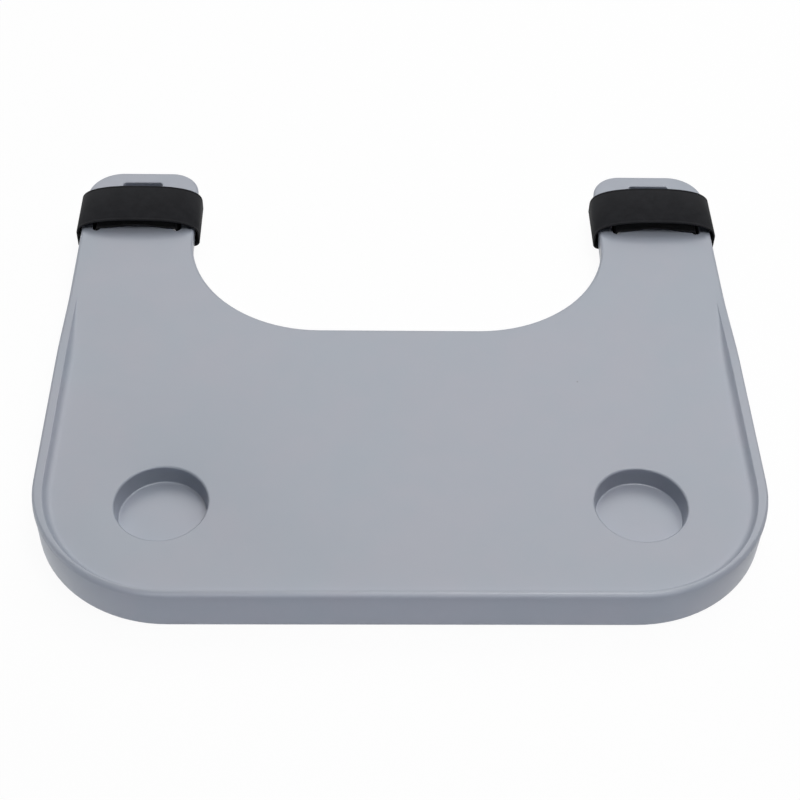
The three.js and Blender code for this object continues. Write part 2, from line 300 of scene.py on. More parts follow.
# %% Grey moulded plastic
GREY_COOL = (0.355, 0.392, 0.458, 1)
GREY_WARM = (0.374, 0.394, 0.46, 1)
SPECK_GREY = (0.24, 0.255, 0.285, 1)
DRIFT_SCALE = 16
DRIFT_RANGE = (0.35, 0.65)
WEAR_SCALE = 55
SATIN = (0.3, 0.4)
SWELL_SCALE = 22
SWELL_HEIGHT = 1.2 * MM
GRAIN_SCALE = 1400
GRAIN_HEIGHT = 0.12 * MM


def tray_plastic():
    material, tree, shader = new_material("tray_plastic")
    place = object_place(tree)
    drift = noise(tree, place, DRIFT_SCALE, detail=3, roughness=0.55)
    grey = blend_colours(tree, remap(tree, drift, DRIFT_RANGE, WHOLE), GREY_COOL, GREY_WARM)
    wear = noise(tree, place, WEAR_SCALE, detail=4)
    swell = noise(tree, place, SWELL_SCALE, detail=1)
    grain = noise(tree, place, GRAIN_SCALE, detail=2)
    waves = bump(tree, swell, strength=0.12, distance=SWELL_HEIGHT)
    fine = bump(tree, grain, strength=0.1, distance=GRAIN_HEIGHT, under=waves)
    feed(tree, shader.inputs["Base Color"], blend_colours(tree, specks(tree, place), grey, SPECK_GREY))
    feed(tree, shader.inputs["Roughness"], remap(tree, wear, WHOLE, SATIN))
    feed(tree, shader.inputs["Normal"], fine)
    shader.inputs["Specular IOR Level"].default_value = 0.75
    return material


plastic = tray_plastic()
print("material:", plastic.name)

# %% [markdown]
# ## The tray's outline
# Seen from above, the tray is a broad U with round corners. One flat face with eight corners has that
# plan, and a vertex bevel on each corner turns it into an arc of the right radius. The long sides are cut
# into short lengths afterwards, because the rim and the parting line change height along them.

# %% One face in the tray's plan
ARM_WIDTH = 106.5 * MM
CUTOUT_DEPTH = 217 * MM
FRONT_RADIUS = 116 * MM
CUTOUT_RADIUS = 122 * MM
TIP_OUTER_RADIUS = 33 * MM
TIP_INNER_RADIUS = 27 * MM
CORNER_STEPS = 24
SIDE_CUTS = 72
LONG_EDGE = 300 * MM
ROUND_PROFILE = 0.5
arm_inner_x = side_x - ARM_WIDTH
cutout_y = tip_y - CUTOUT_DEPTH


def tray_face(bm, z, set_in=0):
    """The tray's plan as one flat face, or a smaller one whose edge is set in all round."""
    right = [
        (side_x - set_in, front_y + set_in, FRONT_RADIUS - set_in),
        (side_x - set_in, tip_y - set_in, TIP_OUTER_RADIUS - set_in),
        (arm_inner_x + set_in, tip_y - set_in, TIP_INNER_RADIUS - set_in),
        (arm_inner_x + set_in, cutout_y - set_in, CUTOUT_RADIUS + set_in),
    ]
    left = [(-x, y, radius) for x, y, radius in reversed(right)]
    corners = [(bm.verts.new((x, y, z)), radius) for x, y, radius in right + left]
    bm.faces.new([vert for vert, radius in corners])
    for vert, radius in corners:
        bmesh.ops.bevel(
            bm, geom=[vert], offset=radius, offset_type="OFFSET", segments=CORNER_STEPS,
            profile=ROUND_PROFILE, affect="VERTICES", material=-1)
    face = max(bm.faces, key=lambda each: each.calc_area())
    long_edges = [edge for edge in face.edges if edge.calc_length() > LONG_EDGE]
    bmesh.ops.bisect_edges(bm, edges=long_edges, cuts=SIDE_CUTS)
    return face


def step_in(bm, face, inward):
    """Inset the face once. Its own vertices move inwards, and the loop that stays is given back."""
    bmesh.ops.inset_region(bm, faces=[face], thickness=inward, use_boundary=True, use_even_offset=True)
    own = set(face.edges)
    return [edge.other_vert(vert) for vert in face.verts for edge in vert.link_edges if edge not in own]


print(f"cut-out {2 * arm_inner_x / MM:.0f} mm wide and {CUTOUT_DEPTH / MM:.0f} mm deep")

# %% [markdown]
# ## Heights along the edge
# The rim is highest along the front and the sides, then runs out where the arms begin. The line where the
# two skins meet is just under the rim's bead in front and drops to the middle of the wall along the arms.
# The rim's section changes too: narrow and round in front, broader and with a wider face along the sides.
# All of it changes smoothly along the tray's depth, so each is a short formula of a point's place.

# %% Formulas for the rim and the parting line
RIM_FULL = 252 * MM
RIM_GONE = 350 * MM
PARTING_ABOVE_DECK = 1 * MM
PARTING_BELOW_DECK = 11 * MM
PARTING_LEVEL = 130 * MM
PARTING_LOW = 300 * MM


def smooth_share(value, start, end):
    """0 up to the start, 1 from the end on, and a smooth rise between."""
    share = min(max((value - start) / (end - start), 0), 1)
    return share * share * (3 - 2 * share)


def rim_share(place):
    """1 where the rim stands at its full height, 0 where there is none."""
    if abs(place.x) < arm_inner_x + ARM_WIDTH / 2 and place.y > 0:
        return 0.0
    return 1 - smooth_share(place.y - front_y, RIM_FULL, RIM_GONE)


def parting_z(place):
    """Height of the line where the two skins meet."""
    drop = smooth_share(place.y - front_y, PARTING_LEVEL, PARTING_LOW)
    return deck_z + PARTING_ABOVE_DECK - drop * (PARTING_ABOVE_DECK + PARTING_BELOW_DECK)


print(f"rim runs out between {RIM_FULL / MM:.0f} and {RIM_GONE / MM:.0f} mm from the front")

# %% Section of the rim's inner face
SIDE_TOP_WIDTH = 7.6 * MM
CREST_RADIUS = 1.2 * MM
FOOT_RADIUS = 7.5 * MM
FACE_SLOPE = math.radians(56)
rounding_drop = (CREST_RADIUS + FOOT_RADIUS) * (1 - math.cos(FACE_SLOPE))
crest_run = CREST_RADIUS * math.sin(FACE_SLOPE)
slope_run = (RIM_RISE - rounding_drop) / math.tan(FACE_SLOPE)
face_run = crest_run + slope_run + FOOT_RADIUS * math.sin(FACE_SLOPE)
face_end = SIDE_TOP_WIDTH + face_run


def face_height(along):
    """Height of the rim's inner face over the deck: a rounded crest, a slope and a hollow at its foot."""
    if along <= 0:
        return RIM_RISE
    if along < crest_run:
        return RIM_RISE - CREST_RADIUS + math.sqrt(CREST_RADIUS ** 2 - along ** 2)
    if along < crest_run + slope_run:
        slope_top = RIM_RISE - CREST_RADIUS * (1 - math.cos(FACE_SLOPE))
        return slope_top - (along - crest_run) * math.tan(FACE_SLOPE)
    left = max(face_run - along, 0)
    return FOOT_RADIUS - math.sqrt(FOOT_RADIUS ** 2 - left ** 2)


print(f"rim face from {SIDE_TOP_WIDTH / MM:.1f} to {face_end / MM:.1f} mm inside the sides")

# %% Height of the deck's edge, from the outside inwards
FRONT_BEAD_RADIUS = 4.6 * MM
SIDE_BEAD_RADIUS = 2.2 * MM
DECK_EDGE_RADIUS = 3 * MM
FRONT_TOP_WIDTH = 5.2 * MM
FRONT_SPREAD = 0.6
FRONT_END = 15 * MM
SIDE_START = 110 * MM
NO_RIM = 0.01


def front_share(place):
    """1 along the front, where the rim is narrow and round, and 0 along the sides."""
    return 1 - smooth_share(place.y - front_y, FRONT_END, SIDE_START)


def deck_edge_z(inward, place):
    """Height of the deck's edge. The rim's face shrinks where the rim runs out."""
    share = rim_share(place)
    front = front_share(place)
    bead = SIDE_BEAD_RADIUS + front * (FRONT_BEAD_RADIUS - SIDE_BEAD_RADIUS)
    radius = DECK_EDGE_RADIUS + share * (bead - DECK_EDGE_RADIUS)
    if inward < radius:
        return deck_z + RIM_RISE * share - radius + math.sqrt(radius ** 2 - (radius - inward) ** 2)
    if share < NO_RIM:
        return deck_z
    spread = share * (1 - front * (1 - FRONT_SPREAD))
    top_width = SIDE_TOP_WIDTH + front * (FRONT_TOP_WIDTH - SIDE_TOP_WIDTH)
    return deck_z + share * face_height((inward - top_width) / spread)


front_place = Vector((0, front_y, 0))
print(f"bead's top at {deck_edge_z(FRONT_BEAD_RADIUS, front_place) / MM:.1f} mm in front")

# %% [markdown]
# ## The deck skin's edge
# The upper skin starts as a face in the tray's plan at the parting line. One inset with no width raises
# the wall. A row of insets then walks inwards over the bead and down the hollow face to the flat deck, and
# each new loop is lifted to the height that the section gives at that distance from the edge.

# %% Walk over the bead and the rim
SEAM_GAP = 0.3 * MM
BEAD_STEPS = 12
FACE_STEPS = 34
HOLD_STEP = 1.5 * MM


def section_steps():
    """Distances from the edge at which the section is sampled: close on the bead and on the face."""
    turns = [math.pi / 2 * k / BEAD_STEPS for k in range(1, BEAD_STEPS + 1)]
    bead = [FRONT_BEAD_RADIUS * (1 - math.cos(turn)) for turn in turns]
    width = face_end - FRONT_TOP_WIDTH
    face = [FRONT_TOP_WIDTH + width * k / FACE_STEPS for k in range(FACE_STEPS + 1)]
    return bead + face + [face[-1] + HOLD_STEP]


deck = bmesh.new()
deck_face = tray_face(deck, 0)
lip_loop = step_in(deck, deck_face, 0)
distances = [0] + section_steps()
loops = [step_in(deck, deck_face, after - before) for before, after in zip(distances, distances[1:])]
for vert in lip_loop:
    vert.co.z = parting_z(vert.co) + SEAM_GAP / 2
for inward, loop in zip(distances, loops):
    for vert in loop:
        vert.co.z = deck_edge_z(inward, vert.co)
for vert in deck_face.verts:
    vert.co.z = deck_z
print("deck edge:", len(loops), "loops, flat from", round(distances[-1] / MM, 1), "mm inside the edge")

# %% [markdown]
# ## The cup recesses
# Each recess is a round pocket for a mug, pressed into the upper skin: a rounded lip, a wall that narrows
# a little so the mould can leave it, and a flat floor with a rounded corner. It is round, so half of its
# section is drawn as a chain of edges and spun about the pocket's axis.

# %% Arcs, and sections that are spun
SPIN_STEPS = 96
AXIS_REACH = 0.001 * MM


def arc_points(centre, radius, start, end, steps):
    """Points of an arc in the plane of a section: distance from the axis, and height."""
    angles = [math.radians(start + (end - start) * k / steps) for k in range(steps + 1)]
    return [(centre[0] + radius * math.cos(a), centre[1] + radius * math.sin(a)) for a in angles]


def spin_section(bm, section, place):
    """Spin a chain of points, each a distance from the axis and a height, round an upright axis."""
    chain = [bm.verts.new((place.x + out, place.y, up)) for out, up in section]
    edges = [bm.edges.new(pair) for pair in zip(chain, chain[1:])]
    bmesh.ops.spin(
        bm, geom=chain + edges, cent=(place.x, place.y, 0), axis=(0, 0, 1), angle=2 * math.pi,
        steps=SPIN_STEPS, use_merge=True, use_duplicate=False)
    middle = [vert for vert in bm.verts if (vert.co.xy - place.xy).length < AXIS_REACH]
    bmesh.ops.remove_doubles(bm, verts=middle, dist=AXIS_REACH)


# %% Two cup recesses
CUP_RADIUS = 39.8 * MM
CUP_FLOOR_Z = 16.5 * MM
CUP_DRAFT = 1.5 * MM
CUP_LIP = 2 * MM
CUP_CORNER = 1.2 * MM
CUP_FROM_FRONT = 96.5 * MM
CUP_FROM_SIDE = 105 * MM
ROUND_STEPS = 6


def cup_section():
    """Half of a recess's section, from the lip down to the middle of its floor."""
    wall_top = CUP_RADIUS - CUP_LIP
    floor_corner = wall_top - CUP_DRAFT - CUP_CORNER
    lip = arc_points((CUP_RADIUS, deck_z - CUP_LIP), CUP_LIP, 90, 180, ROUND_STEPS)
    corner = arc_points((floor_corner, CUP_FLOOR_Z + CUP_CORNER), CUP_CORNER, 0, -90, ROUND_STEPS)
    return lip + corner + [(floor_corner - HOLD_STEP, CUP_FLOOR_Z), (0, CUP_FLOOR_Z)]


for side in (-1, 1):
    cup_place = Vector((side * (side_x - CUP_FROM_SIDE), front_y + CUP_FROM_FRONT, 0))
    spin_section(deck, cup_section(), cup_place)
print("cup recesses: two,", round((deck_z - CUP_FLOOR_Z) / MM, 1), "mm deep")

# %% [markdown]
# ## The slots through the arms
# Each arm has two long slots that the strap is threaded through and a short one near the tip. A slot is a
# circle whose two halves are pulled apart. Its lip is rounded by pulling copies of the loop down and
# inwards, and the last copy is pulled straight down to make the wall.

# %% Where the slots are
STRAP_SLOT_LENGTH = 53 * MM
TIP_SLOT_LENGTH = 38 * MM
SLOT_FROM_OUTER_SIDE = 14 * MM
SLOT_FROM_INNER_SIDE = 16.5 * MM
TIP_SLOT_FROM_TIP = 18.5 * MM
ALONG_ARM = Vector((0, 1, 0))
ACROSS_ARM = Vector((1, 0, 0))
strap_low, strap_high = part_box("right_strap")
strap_y = (strap_low.y + strap_high.y) / 2
outer_slot_x = side_x - SLOT_FROM_OUTER_SIDE
inner_slot_x = arm_inner_x + SLOT_FROM_INNER_SIDE
tip_slot_x = (outer_slot_x + inner_slot_x) / 2
tip_slot_y = tip_y - TIP_SLOT_FROM_TIP


def slot_places():
    """Centre, length and direction of every slot."""
    for side in (-1, 1):
        yield Vector((side * outer_slot_x, strap_y, 0)), STRAP_SLOT_LENGTH, ALONG_ARM
        yield Vector((side * inner_slot_x, strap_y, 0)), STRAP_SLOT_LENGTH, ALONG_ARM
        yield Vector((side * tip_slot_x, tip_slot_y, 0)), TIP_SLOT_LENGTH, ACROSS_ARM


print(f"strap slots at {inner_slot_x / MM:.1f} and {outer_slot_x / MM:.1f} mm from the middle")

# %% Pull a circle apart into a slot, and round its lip
SLOT_WIDTH = 7 * MM
SLOT_LIP = 1.2 * MM
SLOT_STEPS = 24
LIP_STEPS = 4
DECK_SLOT_DEPTH = 2.6 * MM


def slot_ends(verts, centre, pull):
    """The two round ends of a slot: how far an end is pulled out, and which vertices belong to it."""
    for shift in (-pull, pull):
        yield shift, [vert for vert in verts if (vert.co - centre).dot(shift) > 0]


def cut_slot(bm, centre, length, direction, surface_z, end_z):
    """A slot's rounded lip and its wall, from a surface to a height inside the tray."""
    inward = 1 if end_z > surface_z else -1
    radius = SLOT_WIDTH / 2 + SLOT_LIP
    half_step = Matrix.Rotation(math.pi / SLOT_STEPS, 4, "Z")
    start = Matrix.Translation(centre + Vector((0, 0, surface_z))) @ half_step
    ring = bmesh.ops.create_circle(bm, cap_ends=False, radius=radius, segments=SLOT_STEPS, matrix=start)
    pull = direction * (length / 2 - SLOT_WIDTH / 2)
    for shift, half in slot_ends(ring["verts"], centre, pull):
        bmesh.ops.translate(bm, verts=half, vec=shift)
    loop = list({edge for vert in ring["verts"] for edge in vert.link_edges})
    lip = arc_points((0, 0), SLOT_LIP, 90, 180, LIP_STEPS)[1:]
    levels = [(radius + out, surface_z + inward * (SLOT_LIP - up)) for out, up in lip]
    for wall_radius, z in levels + [(SLOT_WIDTH / 2, end_z)]:
        made = bmesh.ops.extrude_edge_only(bm, edges=loop)["geom"]
        new = [item for item in made if isinstance(item, bmesh.types.BMVert)]
        loop = [item for item in made if isinstance(item, bmesh.types.BMEdge)]
        for shift, half in slot_ends(new, centre, pull):
            cap = centre + shift
            for vert in half:
                outward = (vert.co.xy - cap.xy).normalized() * wall_radius
                vert.co = (cap.x + outward.x, cap.y + outward.y, z)


for centre, length, direction in slot_places():
    cut_slot(deck, centre, length, direction, deck_z, deck_z - DECK_SLOT_DEPTH)
print("slots cut:", len(list(slot_places())))

# %% [markdown]
# ## Closing the deck and giving it a wall
# The flat part of the deck is one sheet with holes for the recesses and slots, so the inner loop of the
# edge and the hole loops are filled together. Until now the skin is a surface without thickness. Solidify
# adds the wall on the inside, and a small bevel rounds the lip that stands over the parting line.

# %% Fill the deck round its holes
LEVEL_REACH = 0.0001 * MM


def refill_level(bm, z):
    """Take out the faces that lie flat at a height, and fill that level again round the holes in it."""
    def at_level(item):
        return all(abs(vert.co.z - z) < LEVEL_REACH for vert in item.verts)

    bmesh.ops.delete(bm, geom=[face for face in bm.faces if at_level(face)], context="FACES")
    edges = [edge for edge in bm.edges if edge.is_boundary and at_level(edge)]
    made = bmesh.ops.triangle_fill(bm, use_beauty=True, use_dissolve=False, edges=edges, normal=(0, 0, 1))
    area = sum(item.calc_area() for item in made["geom"] if isinstance(item, bmesh.types.BMFace))
    print("filled", round(area, 4), "square metres at", round(z / MM, 1), "mm")


refill_level(deck, deck_z)

# %% Thicken and round the upper skin
SKIN = 2.2 * MM
LIP_ROUNDING = 0.45 * MM
LIP_SEGMENTS = 3
LIP_REACH = 0.01 * MM


def add_wall(bm, lip_raise):
    """Thicken an open skin inwards, then round its outer edge along the parting line."""
    def on_lip(vert):
        return abs(vert.co.z - parting_z(vert.co) - lip_raise) < LIP_REACH

    lip = [edge for edge in bm.edges if edge.is_boundary and all(on_lip(vert) for vert in edge.verts)]
    bmesh.ops.recalc_face_normals(bm, faces=bm.faces)
    bmesh.ops.solidify(bm, geom=list(bm.faces), thickness=SKIN)
    bmesh.ops.bevel(
        bm, geom=lip, offset=LIP_ROUNDING, offset_type="OFFSET", segments=LIP_SEGMENTS,
        profile=ROUND_PROFILE, affect="EDGES", material=-1)
    open_edges = sum(not edge.is_manifold for edge in bm.edges)
    volume = round(bm.calc_volume(signed=True) / MM ** 3)
    print("lip edges rounded:", len(lip), "open edges:", open_edges, "volume:", volume, "cubic mm")


add_wall(deck, SEAM_GAP / 2)

# %% Turn a bmesh into a finished piece
SHARP_ANGLE = math.radians(38)


def make_piece(name, bm, material):
    """An object with the mesh: smooth faces, sharp edges where they meet steeply, and one material."""
    mesh = bpy.data.meshes.new(name)
    bm.to_mesh(mesh)
    bm.free()
    mesh.shade_smooth()
    mesh.set_sharp_from_angle(angle=SHARP_ANGLE)
    mesh.materials.append(material)
    piece = bpy.data.objects.new(name, mesh)
    scene.collection.objects.link(piece)
    print("piece", name, len(mesh.polygons), "faces")
    return piece


deck_skin = make_piece("deck_skin", deck, plastic)
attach(deck_skin, "root")
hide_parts("deck_shell")

# %% [markdown]
# ## The base skin
# The lower skin is the wall under the rim and everything below it. Under the arms it is raised, so that
# they lie on armrest pads with the strap between, and a sloping step joins the two levels. It starts from
# the same plan, set in a little: the deck's lip then stands over the wall, and its shadow draws the crease.

# %% Heights of the underside
ARM_LIFT = 14.5 * MM
ARM_RAISED_LENGTH = 169 * MM
STEP_ROUNDING = 6 * MM
slope_start_y = tip_y - ARM_RAISED_LENGTH - ARM_LIFT


def soft_least(first, second, width):
    """The smaller of two values, with a rounded change from one to the other."""
    reach = max(width - abs(first - second), 0) / width
    return min(first, second) - reach * reach * width / 4


def underside_z(place):
    """0 under the belly, a slope of 45 degrees, then the raised level of the arms."""
    climb = place.y - slope_start_y
    above_belly = -soft_least(-climb, 0, STEP_ROUNDING)
    return soft_least(above_belly, ARM_LIFT, STEP_ROUNDING)


print(f"belly {(slope_start_y - front_y) / MM:.0f} mm long, up to the step")

# %% Walk down the wall and round the lower edge
BASE_SET_IN = 0.5 * MM
BASE_EDGE_RADIUS = 2.2 * MM
BASE_EDGE_STEPS = 8
LIP_MARK = -1.0

base = bmesh.new()
inward_layer = base.verts.layers.float.new("inward")
base_face = tray_face(base, 0, BASE_SET_IN)
edge_turns = [math.pi / 2 * k / BASE_EDGE_STEPS for k in range(BASE_EDGE_STEPS + 1)]
base_distances = [BASE_EDGE_RADIUS * (1 - math.cos(turn)) for turn in edge_turns]
base_distances.append(BASE_EDGE_RADIUS + HOLD_STEP)
for vert in step_in(base, base_face, 0):
    vert[inward_layer] = LIP_MARK
    vert.co.z = parting_z(vert.co)
for before, after in zip(base_distances, base_distances[1:]):
    for vert in step_in(base, base_face, after - before):
        vert[inward_layer] = before
for vert in base_face.verts:
    vert[inward_layer] = base_distances[-1]
print("base wall and edge:", len(base_distances), "loops")

# %% Cut the step's zone into strips, then lift every point to its height
STEP_CUTS = 12


def base_z(place, inward):
    """Height of the base skin: its lip under the parting line, its rounded lower edge, its underside."""
    if inward < 0:
        return parting_z(place) - SEAM_GAP / 2
    short = max(BASE_EDGE_RADIUS - inward, 0)
    return underside_z(place) + BASE_EDGE_RADIUS - math.sqrt(BASE_EDGE_RADIUS ** 2 - short ** 2)


step_zone = ARM_LIFT + 2 * STEP_ROUNDING
for k in range(STEP_CUTS + 1):
    cut_y = slope_start_y - STEP_ROUNDING + step_zone * k / STEP_CUTS
    everything = base.verts[:] + base.edges[:] + base.faces[:]
    bmesh.ops.bisect_plane(
        base, geom=everything, dist=LEVEL_REACH, plane_co=(0, cut_y, 0), plane_no=(0, 1, 0))
for vert in base.verts:
    vert.co.z = base_z(vert.co, vert[inward_layer])
base.verts.layers.float.remove(inward_layer)
print("arms raised by", round(ARM_LIFT / MM, 1), "mm")

# %% [markdown]
# ## Cones and collars
# A hollow board this thin would flex, so such trays are tacked off: the lower skin is pushed up in cones
# until it all but touches the deck from inside. Six cones stand in two rows. Each is a spun section like
# the cup recess. The slots get their collars here, with the same helper as in the deck but pulled up.

# %% Six cones
CONE_MOUTH_RADIUS = 17 * MM
CONE_TOP_RADIUS = 9 * MM
CONE_MOUTH_ROUNDING = 1.5 * MM
CONE_TOP_ROUNDING = 2.5 * MM
CONE_TOP_GAP = 2.9 * MM
CONE_SPACING = 105 * MM
CONE_FROM_FRONT = 80 * MM
CONE_FROM_CUTOUT = 97 * MM
cone_top_z = deck_z - SKIN - CONE_TOP_GAP


def cone_section():
    """Half of a cone's section, from its mouth up to the middle of its top."""
    mouth_centre = (CONE_MOUTH_RADIUS + CONE_MOUTH_ROUNDING, CONE_MOUTH_ROUNDING)
    top_centre = (CONE_TOP_RADIUS - CONE_TOP_ROUNDING, cone_top_z - CONE_TOP_ROUNDING)
    mouth = arc_points(mouth_centre, CONE_MOUTH_ROUNDING, 270, 180, ROUND_STEPS)
    top = arc_points(top_centre, CONE_TOP_ROUNDING, 0, 90, ROUND_STEPS)
    return mouth + top + [(0, cone_top_z)]


for y in (front_y + CONE_FROM_FRONT, cutout_y - CONE_FROM_CUTOUT):
    for x in (-CONE_SPACING, 0, CONE_SPACING):
        spin_section(base, cone_section(), Vector((x, y, 0)))
print(f"cones up to {cone_top_z / MM:.1f} mm")

# %% Six collars, then the finished base
collar_top_z = deck_z - DECK_SLOT_DEPTH - SEAM_GAP
for centre, length, direction in slot_places():
    cut_slot(base, centre, length, direction, ARM_LIFT, collar_top_z)
refill_level(base, 0)
refill_level(base, ARM_LIFT)
add_wall(base, -SEAM_GAP / 2)
base_skin = make_piece("base_skin", base, plastic)
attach(base_skin, "root")
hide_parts("base_pan")

# %% [markdown]
# ## The straps' black webbing
# The straps are cut from black webbing with a brushed face: matte, a little lighter where the nap stands
# up, with fine ribs across and a plain woven edge. The pattern has to follow the strap round its bends, so
# it reads an attribute that tells how far along the strap a point lies, and the object's Y for the place
# across. The thread and the napped tape are the same cloth with other blacks and heights.

# %% Black cloth, for the webbing, the thread and the napped tape
RIB_PITCH = 1.3 * MM
PATCH_SCALE = 70
PATCH_RANGE = (0.38, 0.68)
FIBRE_SCALE = 1500
CLOTH_MATTE = (0.8, 1)


def black_cloth(name, deep, worn, ribs, nap):
    """Cloth of two blacks: ribs is the height of its cross ribs, nap that of its fine fibres."""
    material, tree, shader = new_material(name)
    along = add_node(tree, "ShaderNodeAttribute", attribute_name="along").outputs["Fac"]
    across = add_node(tree, "ShaderNodeSeparateXYZ", {"Vector": object_place(tree)}).outputs["Y"]
    flat = add_node(tree, "ShaderNodeCombineXYZ", {"X": along, "Y": across}).outputs["Vector"]
    patches = noise(tree, flat, PATCH_SCALE, detail=5, roughness=0.7)
    black = blend_colours(tree, remap(tree, patches, PATCH_RANGE, WHOLE), deep, worn)
    fibres = noise(tree, flat, FIBRE_SCALE, detail=3, roughness=0.6)
    wave = calculate(tree, "SINE", calculate(tree, "MULTIPLY", along, 2 * math.pi / RIB_PITCH))
    ribbed = bump(tree, wave, strength=0.35, distance=ribs)
    napped = bump(tree, fibres, strength=0.5, distance=nap, under=ribbed)
    feed(tree, shader.inputs["Base Color"], black)
    feed(tree, shader.inputs["Roughness"], remap(tree, fibres, WHOLE, CLOTH_MATTE))
    feed(tree, shader.inputs["Normal"], napped)
    shader.inputs["Specular IOR Level"].default_value = 0.15
    shader.inputs["Sheen Weight"].default_value = 0.04
    shader.inputs["Sheen Roughness"].default_value = 0.6
    return material


webbing = black_cloth(
    "strap_webbing", deep=(0.0072, 0.0076, 0.0095, 1), worn=(0.0124, 0.0129, 0.0154, 1),
    ribs=0.05 * MM, nap=0.1 * MM)
pile = black_cloth(
    "loop_tape", deep=(0.009, 0.009, 0.0095, 1), worn=(0.018, 0.018, 0.019, 1),
    ribs=0.02 * MM, nap=0.16 * MM)
thread = black_cloth(
    "strap_thread", deep=(0.02, 0.02, 0.021, 1), worn=(0.032, 0.032, 0.033, 1),
    ribs=0.02 * MM, nap=0.04 * MM)
print("cloths:", webbing.name, pile.name, thread.name)

# %% [markdown]
# ## The strap's route
# One strip of webbing goes round each arm. It starts as a tail on the arm's outer side, runs under the
# arm, up through the outer slot, over the deck, down through the inner slot, under the arm again and up its
# inner side. There it becomes the flap, which arches over the arm and closes on the tail. The whole route
# lies in one upright plane, so it is a chain of straight stretches and quarter turns, and the arch is a
# superellipse. Webbing is never quite taut: the arches stand a little higher than drawn, the right one
# more than the left, and the stretch on the deck bows towards the tip.

# %% Where the strap's layers lie on the right arm
STRAP_THICKNESS = 1.5 * MM
half_strap = STRAP_THICKNESS / 2
flap_low, flap_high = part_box("right_strap_flap")
end_low, end_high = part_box("right_flap_end")
pivots = {joint["name"]: Vector(joint["pos_m"]) for joint in frame["joints"]}
inner_run_x = strap_low.x + half_strap
tail_x = strap_high.x - half_strap
under_run_z = strap_low.z + half_strap
deck_run_z = strap_high.z - half_strap
flap_end_x = end_high.x - half_strap
arch_top_z = flap_high.z - half_strap
hinge_z = pivots["right_flap_peel"].z
print(f"strap {(strap_high.y - strap_low.y) / MM:.0f} mm wide, flap turns at {hinge_z / MM:.1f} mm")

# %% Points along a route
BEND_STEPS = 12
ARCH_FULLNESS = 2.6
CROWN = 0.5


def rounded_run(*corners):
    """Straight stretches joined by quarter turns. A corner is its place across and up, and its radius."""
    places = [Vector((x, strap_y, z)) for x, z, radius in corners]
    route = [places[0]]
    for before, corner, after, (x, z, radius) in zip(places, places[1:], places[2:], corners[1:]):
        arrive = (corner - before).normalized() * radius
        leave = (after - corner).normalized() * radius
        centre = corner - arrive + leave
        for k in range(BEND_STEPS + 1):
            angle = math.pi / 2 * k / BEND_STEPS
            route.append(centre - leave * math.cos(angle) + arrive * math.sin(angle))
    return route + [places[-1]]


def arch_place(share, slack):
    """A place on the flap's arch: 0 is its inner foot, 1 its outer foot. Slack lets it stand higher."""
    angle = math.pi * (1 - share)
    power = 2 / ARCH_FULLNESS
    across = math.copysign(abs(math.cos(angle)) ** power, math.cos(angle))
    middle = (inner_run_x + flap_end_x) / 2
    reach = (flap_end_x - inner_run_x) / 2
    up = abs(math.sin(angle)) ** power
    height = arch_top_z + slack - flap_low.z
    return Vector((middle + reach * across, strap_y, flap_low.z + height * up))


print(f"arch up to {arch_place(CROWN, 0).z / MM:.1f} mm when it is taut")

# %% Three routes: what stays put, the flap, and the flap's end
STRAP_BEND = 5 * MM
SLOT_BEND = 3.5 * MM
SEAM_X = 200 * MM
ARCH_STEPS = 70
ARCH_SLACK = {"left": 2 * MM, "right": 3.5 * MM}
half_arch = [CROWN * k / ARCH_STEPS for k in range(ARCH_STEPS + 1)]
strap_route = rounded_run(
    (tail_x, hinge_z, 0),
    (tail_x, under_run_z, STRAP_BEND),
    (outer_slot_x, under_run_z, SLOT_BEND),
    (outer_slot_x, deck_run_z, SLOT_BEND),
    (inner_slot_x, deck_run_z, SLOT_BEND),
    (inner_slot_x, under_run_z, SLOT_BEND),
    (SEAM_X, under_run_z, 0))
riser_route = rounded_run(
    (SEAM_X, under_run_z, 0),
    (inner_run_x, under_run_z, STRAP_BEND),
    (inner_run_x, flap_low.z, 0))


def strap_parts(hand):
    """Each part of one strap: its name, its route and the node that it stands for."""
    slack = ARCH_SLACK[hand]
    flap_route = riser_route[:-1] + [arch_place(share, slack) for share in half_arch]
    end_route = [arch_place(CROWN + share, slack) for share in half_arch]
    end_route.append(Vector((flap_end_x, strap_y, end_low.z)))
    return (
        ("strap_run", strap_route, "strap"),
        ("strap_arch", flap_route, "strap_flap"),
        ("strap_end", end_route, "flap_end"))


def route_length(route):
    return sum((after - before).length for before, after in zip(route, route[1:]))


for hand in ARCH_SLACK:
    length = sum(route_length(route) for name, route, node in strap_parts(hand))
    print(f"{hand} strap: {length / MM:.0f} mm of webbing")

# %% [markdown]
# ## Extruding the webbing
# The webbing's section is a flat strip with a woven edge along each side, set off by a shallow groove. One
# face of that shape is extruded from point to point: each copy is moved and turned by the matrix between
# two points of the route. The strap is one strip on the real object. Here it is three pieces, because the
# flap and its end turn at their hinges, and the joints between them lie where nothing bends.

# %% Section of a strip
WOVEN_EDGE = ((0.0, 0.4), (0.22, 0.8), (0.6, 1.0), (1.9, 1.0), (2.3, 0.76), (2.8, 0.76), (3.2, 1.0))


def strip_section(width, thickness, edge):
    """Outline of a strip. Its edge is a row of distances inwards in mm and shares of the thickness."""
    near = [(inward * MM - width / 2, share * thickness / 2) for inward, share in edge]
    top = near + [(-y, up) for y, up in reversed(near)]
    return top + [(y, -up) for y, up in reversed(top)]


webbing_section = strip_section(strap_high.y - strap_low.y, STRAP_THICKNESS, WOVEN_EDGE)
print("webbing section:", len(webbing_section), "points")

# %% Sweep of a section along a route
STRIP_STEP = 0.9 * MM


